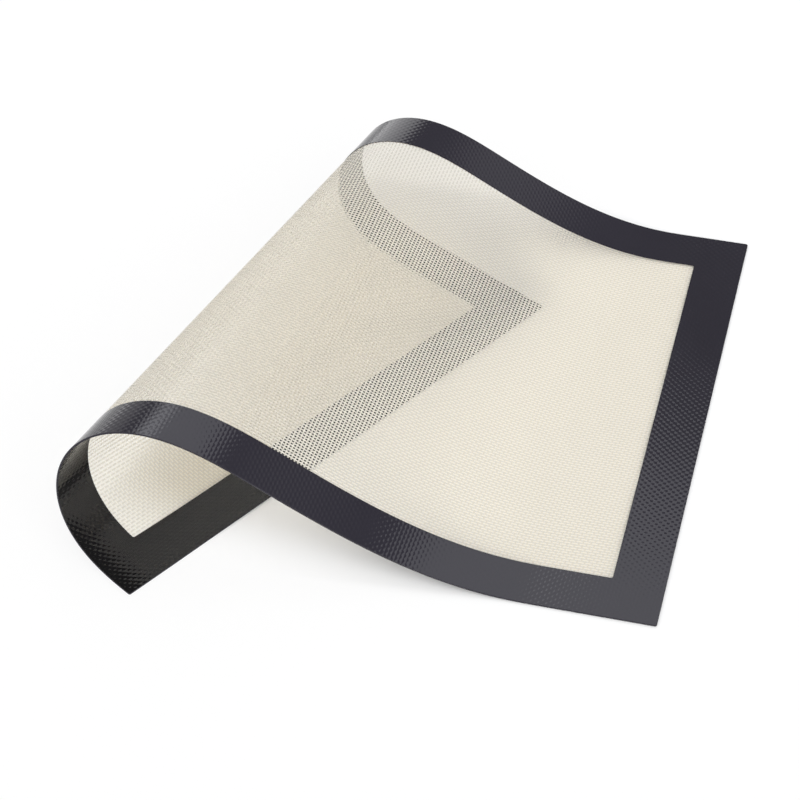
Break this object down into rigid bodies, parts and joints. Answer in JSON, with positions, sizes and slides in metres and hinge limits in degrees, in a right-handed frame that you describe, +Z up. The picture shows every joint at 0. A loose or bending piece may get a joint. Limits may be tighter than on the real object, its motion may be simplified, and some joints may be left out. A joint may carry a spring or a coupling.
{
  "type": "baking mat",
  "caption": "Flexible non-stick baking mat of silicone-coated woven glass cloth with a black border, curled over on the slant so that one end lies upside down under it.",
  "frame": {"origin": "middle of the curled mat's footprint, on the plane it rests on", "axes": "+Z up; +X towards the free short edge of the flat run; +Y across the width, away from the near long edge"},
  "size_m": [0.2952, 0.3394, 0.0705],
  "materials": {
    "glass_cloth": "matte woven",
    "clear_silicone": "satin",
    "black_silicone": "satin gloss"
  },
  "bodies": {
    "root": {"glass_cloth": "glass_cloth", "upper_coat": "clear_silicone", "lower_coat": "clear_silicone", "upper_border": "black_silicone", "lower_border": "black_silicone", "edge_seal": "black_silicone"}
  },
  "joints": []
}
